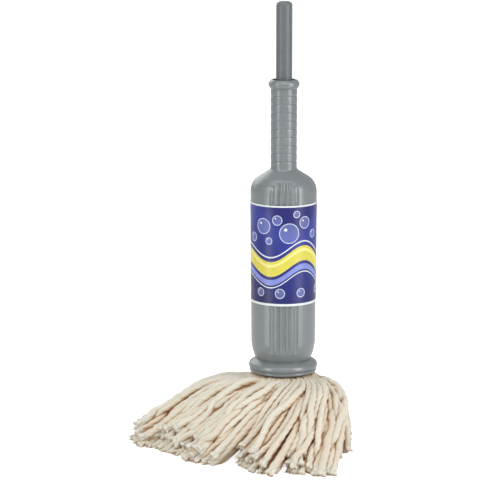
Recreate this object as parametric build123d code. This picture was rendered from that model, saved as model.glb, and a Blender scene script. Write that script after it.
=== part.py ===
from build123d import *
import math
import os

# Wringer mop: a moulded sleeve that slides and turns on a short pole and squeezes a cotton head.
# Millimetres. The pole's axis is Z, the floor is z = 0 and the front, with the label, faces -Y.

# Sleeve heights, stacked up from the foot
FOOT_Z = 101.0
FOOT_HEIGHT = 18.5
TAPER_HEIGHT = 23.5
BODY_HEIGHT = 210.7
NECK_HEIGHT = 110.8
BEAD_HEIGHT = 12.0

# Sleeve diameters and wall
FOOT_DIAMETER = 95.4
WAIST_DIAMETER = 76.2
BODY_LOW_DIAMETER = 88.8
BODY_TOP_DIAMETER = 91.2
NECK_DIAMETER = 35.8
BEAD_DIAMETER = 42.2
MOUTH_DIAMETER = 31.8
WALL = 2.8
FOOT_ROUND = 3.1
RIDGE_IN = 1.3
RIDGE_LOW = 1.6
RIDGE_HEIGHT = 3.6
CREASE_IN = 1.7
CREASE_HEIGHT = 4.6
ROLL_HEIGHT = 9.2
FLARE_IN = 1.4
FLARE_HEIGHT = 13.2
LIP_WIDTH = 1.4
SHOULDER_RADIUS = 24.0
SHOULDER_SLOPE = 31.8
NECK_FILLET = 5.0
MOUTH_CHAMFER = 0.7
BEAD_MIDDLE = 6.2
DRAFT = 0.1

# Grip rings on the neck
RING_PITCH = 11.16
RING_ROUND = 2.6
GROOVE_DEPTH = 0.7
GROOVE_FLANK = 1.2
TOP_BAND = 10.0

# Flutes on the front and back of the body
FLUTE_COUNT = 5
FLUTE_PITCH = 11.2
FLUTE_WIDTH = 7.0
FLUTE_FLOOR = 3.2
FLUTE_DEPTH = 1.7
FLUTE_TOP_ANGLE = 42.0
FLUTE_TOP_DROP = 3.5
FLUTE_START = 2.0
FLUTE_END_SIDES = 8

# Wrapped label
LABEL_LOW_Z = 201.0
LABEL_HEIGHT = 139.0
LABEL_THICKNESS = 0.3
LABEL_CLEARANCE = 0.1

# Pole and the plug in its upper end
POLE_DIAMETER = 22.0
POLE_WALL = 0.8
POLE_ABOVE_RIM = 106.0
PLUG_HEAD = 6.0
PLUG_EDGE = 4.5
PLUG_SHANK = 20.0

# Fits
RUNNING = 0.05
SNUG = 0.05
SEAT_CLEARANCE = 0.3

# Bush in the foot of the neck
BUSH_LENGTH = 50.0
BUSH_WALL = 3.9
BUSH_FLANGE = 5.5
BUSH_FLANGE_THICKNESS = 3.0
BUSH_LIP = 0.5
BUSH_LIP_THICKNESS = 2.0
BUSH_SLITS = 4
BUSH_SLIT_WIDTH = 2.0
BUSH_SLIT_LENGTH = 22.0

# Socket on the lower end of the pole
CUP_GAP = 2.4
CUP_WALL = 2.2
CUP_DROP = 6.5
CUP_DEPTH = 33.0
PLATE = 3.0
SEAT_HEIGHT = 11.5
COLLAR_HEIGHT = 26.0
COLLAR_WALL = 4.0

# Wedge that grips the yarn ends in the socket
BOLT_DIAMETER = 6.0
BOLT_HEAD_WIDTH = 10.0
BOLT_HEAD_HEIGHT = 4.0
BOLT_SPARE = 3.0
NUT_HEIGHT = 5.0
CONE_TOP_DIAMETER = 16.0
CONE_HEIGHT = 30.0

# Yarn: layers of strands in locks round the head, about a core
LOCKS = 20
LAYERS = 2
STRANDS = 5
YARN_GAP = 0.5
YARN_BELOW_FOOT = 2.6
ROOT_LENGTH = 28.0
ROOT_THICKNESS = 8.4
CREST_RADIUS = 49.0
CREST_THICKNESS = 8.0
END_THICKNESS = 11.0
CROWN = 0.45
FALL_STATIONS = (0.0, 0.35, 0.65, 0.9, 1.0)
FALL_POWER = 0.85
UPPER_END = 0.94
REACH = 132.0
LEAN_X = -0.514
LEAN_Y = -0.324
CORE_FOOT_DIAMETER = 66.0

# Tails of longer strands: direction in degrees, added reach, and spread in degrees
TAILS = ((-40.0, 58.0, 28.0), (167.0, 30.0, 35.0), (15.0, 18.0, 25.0))

# Places worked out from the sizes above
WAIST_Z = FOOT_Z + FOOT_HEIGHT
BODY_LOW_Z = WAIST_Z + TAPER_HEIGHT
BODY_TOP_Z = BODY_LOW_Z + BODY_HEIGHT
FOOT_R = FOOT_DIAMETER / 2
WAIST_R = WAIST_DIAMETER / 2
BODY_LOW_R = BODY_LOW_DIAMETER / 2
BODY_TOP_R = BODY_TOP_DIAMETER / 2
NECK_R = NECK_DIAMETER / 2
BEAD_R = BEAD_DIAMETER / 2
MOUTH_R = MOUTH_DIAMETER / 2
SLOPE = math.radians(SHOULDER_SLOPE)
SHOULDER_X = BODY_TOP_R - SHOULDER_RADIUS
DOME_R = SHOULDER_X + SHOULDER_RADIUS * math.sin(SLOPE)
DOME_Z = BODY_TOP_Z + SHOULDER_RADIUS * math.cos(SLOPE)
NECK_LOW_Z = DOME_Z + (DOME_R - NECK_R) * math.tan(SLOPE)
BEAD_LOW_Z = NECK_LOW_Z + NECK_HEIGHT
RING_ROOM = NECK_HEIGHT - TOP_BAND - NECK_FILLET * math.tan((math.pi / 2 - SLOPE) / 2) - RING_ROUND
RING_GROOVES = 1 + int(RING_ROOM / RING_PITCH)
RIM_Z = BEAD_LOW_Z + BEAD_HEIGHT

POLE_R = POLE_DIAMETER / 2
POLE_BORE = POLE_R - POLE_WALL
POLE_TOP = RIM_Z + POLE_ABOVE_RIM
BUSH_R = POLE_R + RUNNING + BUSH_WALL
BUSH_SEAT_R = BUSH_R + RUNNING
LAND_R = BUSH_R + BUSH_FLANGE + SEAT_CLEARANCE
LAND_Z = DOME_Z + (DOME_R - LAND_R) * math.tan(SLOPE) - WALL / math.cos(SLOPE)
LEDGE_Z = LAND_Z + BUSH_LENGTH

THROAT_R = WAIST_R - WALL
TAPER_IN_R = BODY_LOW_R - WALL
CUP_R = THROAT_R - CUP_GAP
CUP_BORE = CUP_R - CUP_WALL
CUP_MOUTH_Z = WAIST_Z - CUP_DROP
PLATE_LOW_Z = CUP_MOUTH_Z + CUP_DEPTH
PLATE_TOP_Z = PLATE_LOW_Z + PLATE
COLLAR_R = POLE_R + SNUG + COLLAR_WALL
COLLAR_TOP_Z = PLATE_TOP_Z + COLLAR_HEIGHT
SEAT_TOP_Z = WAIST_Z + SEAT_HEIGHT
LOCK_TURN = math.pi / LOCKS
ROOT_R = (CUP_BORE - YARN_GAP) * math.cos(LOCK_TURN)
CONE_LOW_R = ROOT_R - LAYERS * (ROOT_THICKNESS + YARN_GAP)


def body_radius(z):
    """Outer radius of the straight body, which widens slightly upwards."""
    share = (z - BODY_LOW_Z) / BODY_HEIGHT
    return BODY_LOW_R + share * (BODY_TOP_R - BODY_LOW_R)


def spin(edges):
    """Solid of revolution about the pole from a closed outline of (radius, height) edges."""
    return revolve(Plane.XZ * make_face(Curve() + edges), axis=Axis.Z)


def lines(*points):
    """Straight edges from point to point, one with a slight draft as a curve of degree one."""
    edges = []
    for start, end in zip(points, points[1:]):
        lean, rise = abs(end[0] - start[0]), abs(end[1] - start[1])
        edges.append(Bezier(start, end) if 0 < lean < DRAFT * rise else Line(start, end))
    return edges


def flat_solid(outlines):
    """Solid with flat sides through matching outlines, closed by the first and the last."""
    faces = [make_face(Polyline(*outlines[i], close=True)) for i in (0, -1)]
    for low, high in zip(outlines, outlines[1:]):
        for i in range(len(low)):
            faces.append(make_face(Polyline(low[i - 1], low[i], high[i], high[i - 1], close=True)))
    return Solid(Shell(faces))


def around(shape, count, start=0.0):
    """Evenly spaced copies about the pole's axis, as one group."""
    return [Rot(Z=start + 360.0 * i / count) * shape for i in range(count)]


def save(shape, node):
    """Write one sub-part."""
    export_step(shape, f"parts/{node}.step")


# Sleeve
def foot_edges():
    """Bevelled lip, crease, rolled edge and flare from the foot up to the sharp waist."""
    lip = (FOOT_R - FOOT_ROUND, FOOT_Z)
    crease = (FOOT_R - CREASE_IN, FOOT_Z + CREASE_HEIGHT)
    flare = (FOOT_R - FLARE_IN, FOOT_Z + FLARE_HEIGHT)
    waist = (WAIST_R, WAIST_Z)
    edges = lines(
        lip,
        (FOOT_R - RIDGE_IN, FOOT_Z + RIDGE_LOW),
        (FOOT_R - RIDGE_IN, FOOT_Z + RIDGE_HEIGHT),
        crease,
    )
    edges.append(ThreePointArc(crease, (FOOT_R, FOOT_Z + ROLL_HEIGHT), flare))
    edges += lines(flare, waist)
    return lip, waist, edges


def neck_edges():
    """Grip rings with rounded upper edges, a plain band on top and the rolled bead at the mouth."""
    top_groove = BEAD_LOW_Z - TOP_BAND
    valley_r = NECK_R - GROOVE_DEPTH
    edges = []
    start = (NECK_R, NECK_LOW_Z)
    for i in reversed(range(RING_GROOVES)):
        groove_z = top_groove - RING_PITCH * i
        edge = (NECK_R, groove_z - RING_ROUND)
        edges += lines(start, edge)
        edges.append(TangentArc(edge, (valley_r, groove_z), tangent=(0, 1)))
        start = (NECK_R, groove_z + GROOVE_FLANK)
        edges += lines((valley_r, groove_z), start)
    edges += lines(start, (NECK_R, BEAD_LOW_Z))
    edges.append(
        ThreePointArc((NECK_R, BEAD_LOW_Z), (BEAD_R, BEAD_LOW_Z + BEAD_MIDDLE), (valley_r, RIM_Z))
    )
    return edges


def inside_edges(rim, lip):
    """Mouth, seat of the bush, wringing chamber, throat and foot, from the rim down."""
    inner_radius = SHOULDER_RADIUS - WALL
    dome = []
    for share in (1.0, 0.5):
        angle = share * (math.pi / 2 - SLOPE)
        radius = SHOULDER_X + inner_radius * math.cos(angle)
        dome.append((radius, BODY_TOP_Z + inner_radius * math.sin(angle)))
    foot_in = FOOT_R - FOOT_ROUND - LIP_WIDTH
    return lines(
        rim,
        (MOUTH_R + MOUTH_CHAMFER, RIM_Z),
        (MOUTH_R, RIM_Z - MOUTH_CHAMFER),
        (MOUTH_R, LEDGE_Z),
        (BUSH_SEAT_R, LEDGE_Z),
        (BUSH_SEAT_R, LAND_Z),
        (LAND_R, LAND_Z),
        *dome,
        (BODY_TOP_R - WALL, BODY_TOP_Z),
        (TAPER_IN_R, BODY_LOW_Z),
        (THROAT_R, WAIST_Z),
        (0.75 * foot_in + 0.25 * THROAT_R, FOOT_Z + 0.55 * FOOT_HEIGHT),
        (foot_in, FOOT_Z),
        lip,
    )


def sleeve_shell():
    """Hollow form of the sleeve, without flutes."""
    lip, waist, edges = foot_edges()
    bulge = (0.36 * WAIST_R + 0.64 * BODY_LOW_R, WAIST_Z + 0.46 * TAPER_HEIGHT)
    edges.append(ThreePointArc(waist, bulge, (BODY_LOW_R, BODY_LOW_Z)))
    edges += lines((BODY_LOW_R, BODY_LOW_Z), (BODY_TOP_R, BODY_TOP_Z))
    edges.append(CenterArc((SHOULDER_X, BODY_TOP_Z), SHOULDER_RADIUS, 0, 90 - SHOULDER_SLOPE))
    edges += lines((DOME_R, DOME_Z), (NECK_R, NECK_LOW_Z))
    edges += neck_edges()
    edges += inside_edges((NECK_R - GROOVE_DEPTH, RIM_Z), lip)
    solid = spin(edges)
    root = solid.edges().filter_by_position(Axis.Z, NECK_LOW_Z - 0.01, NECK_LOW_Z + 0.01)
    return fillet(root, NECK_FILLET)


def flute_cutter(top_angle):
    """Tapered channel up the body and over the shoulder, with a rounded upper end."""
    lean = (FLUTE_WIDTH - FLUTE_FLOOR) / 2 / FLUTE_DEPTH
    start_z = WAIST_Z + FLUTE_START
    run = Line((body_radius(start_z) - FLUTE_DEPTH, start_z), (BODY_TOP_R - FLUTE_DEPTH, BODY_TOP_Z))
    bend = JernArc(run @ 1, run % 1, SHOULDER_RADIUS - FLUTE_DEPTH, top_angle)
    path = Plane.XZ * (run + bend)
    height = 2 * FLUTE_DEPTH
    half_floor = FLUTE_FLOOR / 2
    half_top = half_floor + lean * height
    outline = Polyline(
        (-half_floor, 0), (half_floor, 0), (half_top, height), (-half_top, height), close=True
    )
    front = Vector(0, -1, 0)
    section = Plane(path @ 0, x_dir=front, z_dir=path % 0) * make_face(outline)
    cap = Plane(path @ 1, x_dir=front, z_dir=(path % 1).cross(front))
    tip = RegularPolygon(half_floor, FLUTE_END_SIDES, major_radius=False, rotation=180 / FLUTE_END_SIDES)
    end = extrude(cap * tip, height, taper=-math.degrees(math.atan(lean)))
    return sweep(section, path=path) + end


def flute_cutters():
    """Cutters for the flutes of the front and back panels, the middle ones reaching highest."""
    cutters = []
    for panel in (-90.0, 90.0):
        for i in range(FLUTE_COUNT):
            step = i - (FLUTE_COUNT - 1) / 2
            cutter = flute_cutter(FLUTE_TOP_ANGLE - FLUTE_TOP_DROP * step**2)
            cutters.append(Rot(Z=panel + FLUTE_PITCH * step) * cutter)
    return cutters


def wringer_sleeve():
    """Hollow moulding with a plain inside and fluted panels outside."""
    return sleeve_shell() - flute_cutters()


def wrap_label():
    """Film wrapped round the body."""
    low, high = LABEL_LOW_Z, LABEL_LOW_Z + LABEL_HEIGHT
    inner = LABEL_CLEARANCE
    outer = LABEL_CLEARANCE + LABEL_THICKNESS
    return spin(
        lines(
            (body_radius(low) + inner, low),
            (body_radius(low) + outer, low),
            (body_radius(high) + outer, high),
            (body_radius(high) + inner, high),
            (body_radius(low) + inner, low),
        )
    )


# Pole and bush
def rod(radius, low, high):
    """Plain cylinder on the pole's axis."""
    return Pos(Z=(low + high) / 2) * Cylinder(radius, high - low)


def pole_tube():
    """Steel tube, pressed into the collar of the socket."""
    end_z = POLE_TOP - PLUG_HEAD
    return rod(POLE_R, PLATE_TOP_Z, end_z) - rod(POLE_BORE, PLATE_TOP_Z, end_z)


def pole_end_plug():
    """Plug pressed into the tube, with a rounded head flush with it."""
    seam_z = POLE_TOP - PLUG_HEAD
    shank_r = POLE_BORE - SNUG
    edge = PLUG_EDGE
    edges = lines(
        (POLE_R, POLE_TOP - edge),
        (POLE_R - 0.3 * edge, POLE_TOP - 0.3 * edge),
        (POLE_R - edge, POLE_TOP),
        (0, POLE_TOP),
        (0, seam_z - PLUG_SHANK),
        (shank_r, seam_z - PLUG_SHANK),
        (shank_r, seam_z),
        (POLE_R, seam_z),
        (POLE_R, POLE_TOP - edge),
    )
    return spin(edges)


def neck_bush():
    """Flanged bush with a split upper end that snaps over the ledge in the neck."""
    bore = POLE_R + RUNNING
    flange_top = LAND_Z - SEAT_CLEARANCE
    flange_low = flange_top - BUSH_FLANGE_THICKNESS
    lip_low = LEDGE_Z + SEAT_CLEARANCE
    lip_top = lip_low + BUSH_LIP_THICKNESS
    lip_r = BUSH_SEAT_R + BUSH_LIP
    body = spin(
        lines(
            (bore, flange_low),
            (BUSH_R + BUSH_FLANGE, flange_low),
            (BUSH_R + BUSH_FLANGE, flange_top),
            (BUSH_R, flange_top),
            (BUSH_R, lip_low),
            (lip_r, lip_low),
            (BUSH_R - BUSH_LIP, lip_top),
            (bore, lip_top),
            (bore, flange_low),
        )
    )
    slit = Pos(lip_r, 0, lip_top) * Box(2 * lip_r, BUSH_SLIT_WIDTH, 2 * BUSH_SLIT_LENGTH)
    return body - around(slit, BUSH_SLITS, 45.0)


# Socket and its fixings
def seat_radius(z):
    """Outside of the socket's seat, just clear of the cone inside the waist."""
    share = (z - WAIST_Z) / TAPER_HEIGHT
    lean = math.hypot(TAPER_IN_R - THROAT_R, TAPER_HEIGHT) / TAPER_HEIGHT
    return THROAT_R + share * (TAPER_IN_R - THROAT_R) - SEAT_CLEARANCE * lean


def yarn_socket():
    """Cup for the yarn with a conical seat that stops on the waist and a collar for the pole."""
    bore = POLE_R + SNUG
    bolt_hole = BOLT_DIAMETER / 2 + SNUG
    return spin(
        lines(
            (CUP_BORE, CUP_MOUTH_Z),
            (seat_radius(CUP_MOUTH_Z), CUP_MOUTH_Z),
            (seat_radius(SEAT_TOP_Z), SEAT_TOP_Z),
            (CUP_R, SEAT_TOP_Z),
            (CUP_R, PLATE_TOP_Z),
            (COLLAR_R, PLATE_TOP_Z),
            (COLLAR_R, COLLAR_TOP_Z),
            (bore, COLLAR_TOP_Z),
            (bore, PLATE_TOP_Z),
            (bolt_hole, PLATE_TOP_Z),
            (bolt_hole, PLATE_LOW_Z),
            (CUP_BORE, PLATE_LOW_Z),
            (CUP_BORE, CUP_MOUTH_Z),
        )
    )


def tapered(*stations):
    """Upright form with one flat for each lock of yarn, through (radius, height) stations."""
    outlines = []
    for radius, z in stations:
        reach = radius / math.cos(LOCK_TURN)
        corners = [LOCK_TURN * (2 * i + 1) for i in range(LOCKS)]
        outlines.append([Vector(reach * math.cos(a), reach * math.sin(a), z) for a in corners])
    return flat_solid(outlines)


def clamp_cone():
    """Wedge that the bolt pulls up into the yarn."""
    top_z = CUP_MOUTH_Z + CONE_HEIGHT
    wedge = tapered((CONE_LOW_R, CUP_MOUTH_Z), (CONE_TOP_DIAMETER / 2, top_z))
    return wedge - rod(BOLT_DIAMETER / 2 + SNUG, CUP_MOUTH_Z, top_z)


def hexagon(width, low, high):
    """Hexagonal prism on the pole's axis, sized across its flats."""
    outline = RegularPolygon(width / 2, 6, major_radius=False)
    return extrude(Pos(Z=low) * outline, high - low)


def clamp_bolt():
    """Hexagon bolt through the cone and the plate of the socket."""
    head = hexagon(BOLT_HEAD_WIDTH, CUP_MOUTH_Z - BOLT_HEAD_HEIGHT, CUP_MOUTH_Z)
    return head + rod(BOLT_DIAMETER / 2, CUP_MOUTH_Z, PLATE_TOP_Z + NUT_HEIGHT + BOLT_SPARE)


def clamp_nut():
    """Nut on the plate, inside the pole."""
    top = PLATE_TOP_Z + NUT_HEIGHT
    return hexagon(BOLT_HEAD_WIDTH, PLATE_TOP_Z, top) - rod(BOLT_DIAMETER / 2 + SNUG, PLATE_TOP_Z, top)


# Yarn
def half_width(along):
    """Half of a lock's width at a distance along its heading."""
    return along * math.tan(LOCK_TURN) - YARN_GAP / 2


def crown(along):
    """Height of a strand's rounded top above the furrow beside it."""
    return CROWN * 2 * half_width(along) / STRANDS


def lock_reach(index):
    """How far a lock lies out from the pole before it leans, longest in the tails."""
    reach = REACH
    for direction, more, spread in TAILS:
        turn = math.remainder(360.0 * index / LOCKS - direction, 360.0)
        reach += more * math.exp(-((turn / spread) ** 2))
    return reach


def layer_thickness(share):
    """Thickness of a layer up to its furrows, growing from the crest to the ends."""
    return CREST_THICKNESS + share * (END_THICKNESS - CREST_THICKNESS)


def layer_floor(layer, along, share):
    """Underside of a layer: the lowest falls to the floor and the others lie on it."""
    crest_stack = LAYERS * (CREST_THICKNESS + crown(CREST_RADIUS)) + (LAYERS - 1) * YARN_GAP
    crest_z = FOOT_Z - YARN_BELOW_FOOT - crest_stack
    drop = max(0.0, 1 - (share / FALL_STATIONS[-2]) ** 2)
    below = LAYERS - 1 - layer
    return crest_z * drop**FALL_POWER + below * (layer_thickness(share) + crown(along) + YARN_GAP)


def lock_outline(index, corners, shift=Vector(0, 0, 0)):
    """Points of an outline given across, along and above a lock's own heading."""
    azimuth = 2 * LOCK_TURN * index
    out = Vector(math.cos(azimuth), math.sin(azimuth), 0)
    side = Vector(-math.sin(azimuth), math.cos(azimuth), 0)
    return [shift + side * across + out * along + Vector(0, 0, z) for across, along, z in corners]


def lock_root(index, layer):
    """One layer of a lock from the cup to the crest under the foot, as a bent bar."""
    outer = ROOT_R - layer * (ROOT_THICKNESS + YARN_GAP)
    inner = outer - ROOT_THICKNESS
    low = layer_floor(layer, CREST_RADIUS, 0.0)
    top_z = CUP_MOUTH_Z + ROOT_LENGTH
    bars = [((outer, top_z), (inner, top_z))]
    for turn in (0.0, 45.0, 90.0):
        ends = []
        for radius, z in ((outer, low + CREST_THICKNESS), (inner, low)):
            along = CREST_RADIUS - (CREST_RADIUS - radius) * math.cos(math.radians(turn))
            ends.append((along, CUP_MOUTH_Z - (CUP_MOUTH_Z - z) * math.sin(math.radians(turn))))
        bars.append(ends)
    outlines = []
    for (over, over_z), (under, under_z) in bars:
        corners = [(-half_width(over), over, over_z), (half_width(over), over, over_z)]
        corners += [(half_width(under), under, under_z), (-half_width(under), under, under_z)]
        outlines.append(lock_outline(index, corners))
    return flat_solid(outlines)


def lock_fall(index, layer):
    """One layer of a lock from the crest to the floor: strands side by side with blunt ends."""
    outlines = []
    for share in FALL_STATIONS[:-1] + (UPPER_END ** (LAYERS - 1 - layer),):
        along = CREST_RADIUS + share * (lock_reach(index) - CREST_RADIUS)
        half = half_width(along)
        low = layer_floor(layer, along, share)
        furrow = low + layer_thickness(share)
        corners = [(-half, along, low), (half, along, low)]
        for i in range(2 * STRANDS + 1):
            height = furrow + crown(along) * (i % 2)
            corners.append((half - half * i / STRANDS, along, height))
        lean = Vector(LEAN_X, LEAN_Y, 0) * (along - CREST_RADIUS)
        outlines.append(lock_outline(index, corners, lean))
    return flat_solid(outlines)


def yarn_lock(index):
    """Strands of one sector, layer on layer."""
    layers = [lock_root(index, layer) + lock_fall(index, layer) for layer in range(LAYERS)]
    return Compound(children=layers)


def yarn_core():
    """Inner strands that hang straight down below the bolt and spread where they stand."""
    crest_z = layer_floor(LAYERS - 1, CREST_RADIUS, 0.0)
    top_z = CUP_MOUTH_Z - BOLT_HEAD_HEIGHT - YARN_GAP
    return tapered((CORE_FOOT_DIAMETER / 2, 0), (CONE_LOW_R, crest_z), (CONE_LOW_R, top_z))


os.makedirs("parts", exist_ok=True)
save(wringer_sleeve(), "wringer_sleeve")
save(wrap_label(), "wrap_label")
save(pole_tube(), "pole_tube")
save(pole_end_plug(), "pole_end_plug")
save(neck_bush(), "neck_bush")
save(yarn_socket(), "yarn_socket")
save(clamp_cone(), "clamp_cone")
save(clamp_bolt(), "clamp_bolt")
save(clamp_nut(), "clamp_nut")
save(yarn_core(), "yarn_core")
for number in range(LOCKS):
    save(yarn_lock(number), f"yarn_lock_{number + 1:02d}")
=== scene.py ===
import math
from collections import namedtuple

import bpy
import numpy as np
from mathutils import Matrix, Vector


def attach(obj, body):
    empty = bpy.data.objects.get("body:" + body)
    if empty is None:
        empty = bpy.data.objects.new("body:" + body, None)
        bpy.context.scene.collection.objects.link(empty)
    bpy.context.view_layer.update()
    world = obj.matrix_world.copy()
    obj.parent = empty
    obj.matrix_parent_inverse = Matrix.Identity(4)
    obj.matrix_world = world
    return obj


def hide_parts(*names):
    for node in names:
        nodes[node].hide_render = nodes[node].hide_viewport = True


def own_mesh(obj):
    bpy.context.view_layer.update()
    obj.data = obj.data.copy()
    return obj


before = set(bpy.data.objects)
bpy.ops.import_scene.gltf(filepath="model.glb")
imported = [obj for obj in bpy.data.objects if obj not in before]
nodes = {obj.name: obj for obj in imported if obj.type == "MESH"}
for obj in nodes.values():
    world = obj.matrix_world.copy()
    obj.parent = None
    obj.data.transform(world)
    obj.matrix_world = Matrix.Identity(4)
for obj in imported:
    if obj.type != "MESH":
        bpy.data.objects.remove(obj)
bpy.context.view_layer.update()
scene = bpy.context.scene
scene.view_settings.view_transform = "Standard"


def node_box(name):
    """Low and high corner of a node in the frame, in metres, to a tenth of a millimetre."""
    node = nodes[name]
    corners = np.array([node.matrix_world @ Vector(corner) for corner in node.bound_box])
    return corners.min(0).round(4).tolist(), corners.max(0).round(4).tolist()


# Sizes taken from the frame, in metres
SLEEVE_BOX = node_box("wringer_sleeve")
LABEL_BOX = node_box("wrap_label")
FOOT_R = SLEEVE_BOX[1][0]
FOOT_Z = SLEEVE_BOX[0][2]
LABEL_R = LABEL_BOX[1][0]
LABEL_LOW = LABEL_BOX[0][2]
LABEL_HIGH = LABEL_BOX[1][2]

# Camera at the photograph's angle
PITCH = math.radians(10.6)
FOCAL_PIXELS = 2300.0
IMAGE_PIXELS = 480.0
SENSOR = 36.0
CAMERA_DISTANCE = 3.168
CAMERA_TARGET = Vector((-0.0599, 0.0, 0.2849))
CLIP_START = 0.1
CLIP_END = 50.0

# Moulded surfaces: noise scales per metre, lengths in metres, tones as (dark, light)
CREASE_ANGLE = math.radians(26)
SLEEVE_TONES = ((0.146, 0.165, 0.173), (0.160, 0.179, 0.187))
POLE_TONES = ((0.102, 0.115, 0.121), (0.113, 0.126, 0.132))
DARK_TONES = ((0.05, 0.05, 0.055), (0.065, 0.065, 0.07))
STEEL_TONES = ((0.5, 0.5, 0.51), (0.58, 0.58, 0.59))
# No roughness falls below 0.28, because the denoiser draws contour lines where noise crosses about 0.27
SLEEVE_ROUGHNESS = 0.3
POLE_ROUGHNESS = 0.38
DARK_ROUGHNESS = 0.5
STEEL_ROUGHNESS = 0.36
ROUGHNESS_SCALE = 40.0
ROUGHNESS_RANGE = 0.04
PLAIN_GLOSS = 0.5
SLEEVE_GLOSS = 0.8
FLOW_SCALE = 14.0
FLOW_DETAIL = 3.0
FLOW_DARK = 0.3
FLOW_LIGHT = 0.7
GRAIN_SCALE = 1400.0
GRAIN_STRENGTH = 0.06
GRAIN_DEPTH = 0.0002
EDGE_RADIUS = 0.001
# Painted shade in the sleeve's hollows: how far it looks for nearby surfaces, the openness below which it
# starts, its gain, and how dark it gets
HOLLOW_SHADE_REACH = 0.006
HOLLOW_SHADE_START = 0.97
HOLLOW_SHADE_GAIN = 1.7
HOLLOW_SHADE_TONE = 0.45
NODE_SAMPLES = 8

# Yarn sizes, in metres and degrees
SEED = 11
STRAND_R = 0.0047
STRAND_SCATTER = (0.9, 1.12)
STRAND_SIDES = 12
FILL_R = 0.0068
FILL_SIDES = 8
ROOT_R = 0.036
ROOT_Z = FOOT_Z - 0.001
ROOT_POINTS = 4
CREST_R = 0.047
PATH_POINTS = 46
# Layers from the top one to the filling: count of strands, share of the footprint's reach, how much they
# follow the bunches, scatter of the reach, and sideways sway
Layer = namedtuple("Layer", "count end bunching scatter sway")
LAYERS = (
    Layer(count=50, end=0.9, bunching=1.0, scatter=0.045, sway=0.011),
    Layer(count=72, end=0.955, bunching=0.75, scatter=0.035, sway=0.009),
    Layer(count=86, end=1.0, bunching=0.15, scatter=0.015, sway=0.004),
    Layer(count=52, end=0.95, bunching=0.0, scatter=0.0, sway=0.002),
)
FILL_LAYER = len(LAYERS) - 1
LOWEST_LAYER = FILL_LAYER - 1
LAYER_SHIFT = 0.37
LAYER_DROP = 0.0092
LAYER_STEP = 0.0118
TURN_SCATTER = 1.0
# Bunches: degrees aside, bunches round the head, and shift from layer to layer in radians
BUNCHES = ((4.2, 13, 0.8), (3.0, 22, 1.3))
BUNCH_SCATTER = 1.6
# Partings between bunches: direction, how far the ends are turned aside, and over how many degrees
PARTINGS = ((-120, 6.0, 6.0), (-91, 4.5, 5.0), (-148, 3.5, 5.0))
# Strands of the top layer that stray from their bunch
STRAY_SHARE = 0.18
STRAY_TURN = 5.0
STRAY_SWAY = 1.2
STRAY_RISE = 0.004
# The long tip on the left, where the layers end together and lie closer
TIP_WIDTH = 12.0
TIP_REACH = 0.995
TIP_SINK = 0.0012
# Course of a strand: share of its first direction, place of the curve's control point, sway and heights
LEAD_OUT = 0.5
CONTROL_SHARE = 0.54
SWAY_WAVES = (0.5, 1.2)
SWAY_FADE = 1.25
STEEP_SINK = 0.45
STEEP_POWER = 0.95
REST_SCATTER = 0.0018
RISE_SCATTER = 0.0016
RISE_RATE = 1.3
# Where strand ends lie: direction from the pole, and distance
FOOTPRINT = (
    (-180, 0.204), (-172, 0.2), (-165, 0.172), (-155, 0.162), (-142, 0.164), (-129, 0.16), (-122, 0.15),
    (-118, 0.132), (-110, 0.15), (-100, 0.172), (-94, 0.18), (-89, 0.158), (-84, 0.172), (-78, 0.182),
    (-72, 0.186), (-66, 0.16), (-55, 0.122), (-45, 0.108), (-25, 0.092), (0, 0.087), (30, 0.083), (60, 0.084),
    (90, 0.09), (120, 0.108), (145, 0.146), (165, 0.188), (172, 0.2), (180, 0.204),
)
# Height of the crest, by the direction of the ends
CREST = (
    (-180, 0.0895), (-130, 0.0935), (-90, 0.094), (-50, 0.09), (0, 0.082), (60, 0.077), (100, 0.08),
    (150, 0.085), (180, 0.0895),
)
# Direction in which a strand leaves the pole, and direction in which its end lies
SWEEP = (
    (-180, -176), (-135, -157), (-110, -143), (-90, -130), (-60, -104), (-40, -84), (-20, -67), (0, -46),
    (20, -16), (45, 22), (70, 60), (90, 88), (120, 126), (150, 157), (180, 184),
)
# How steeply strands come down, by the direction of their ends
STEEP = (
    (-180, 0.05), (-150, 0.12), (-115, 0.35), (-80, 0.5), (-50, 0.8), (0, 0.95), (60, 0.95), (120, 0.9),
    (150, 0.5), (170, 0.1), (180, 0.05),
)
# Height along a strand that lies flat, as shares of its length and of its fall
LYING = (
    (0, 1.0), (0.2, 0.98), (0.35, 0.92), (0.5, 0.76), (0.62, 0.56), (0.75, 0.34), (0.88, 0.14), (1.0, 0.0),
)
LYING_PASSES = 4

# How strands settle against each other: the shares are of what is put right in one round
SETTLE_ROUNDS = 140
SEARCH_EVERY = 4
SEARCH_SHARE = 1.35
CONTACT = 2 * STRAND_R * 0.9
# Share of the contact distance that is kept, by the share along the strand
SLACK = ((0, 0.55), (0.1, 0.65), (0.3, 1.0))
PUSH_SHARE = 0.35
MOST_PUSH = 0.0016
STIFFNESS = 0.1
LENGTH_PASSES = 3
LENGTH_SHARE = 0.25
HOLD_AT_ROOT = 0.3
HOLD_AT_END = 0.02
LEAST_HEIGHT = STRAND_R * 0.95
FOOT_EDGE = FOOT_R + 0.0023
FOOT_LOW = FOOT_Z - 0.0005
LEAST_LENGTH = 1e-6

# Twisted strands: lengths in metres, the rest as shares of the strand's radius
STRAND_SPACING = 0.0027
FILL_SPACING = 0.006
LEAST_POINTS = 8
PATH_PASSES = 3
TWIST_LENGTH = (0.03, 0.04)
LUMP_SPACING = 0.02
LEAST_LUMPS = 4
LUMP_SCATTER = 0.05
# Share of the full thickness by the distance from the root
ROOT_TAPER = ((0.0, 0.85), (0.02, 0.95), (0.05, 1.0))
PLY_RIDGES = 3
RIDGE_HEIGHT = 0.085
FLATTENING = 0.04
FIBRE_SCATTER = 0.025
CAP_BULGE = 0.4
FLOOR_GAP = 0.0003
# Mark on the last stretch of a strand, where the material paints less shade so that the cut ends look lighter
END_RUN = 0.012
END_MARK = 0.1
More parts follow.
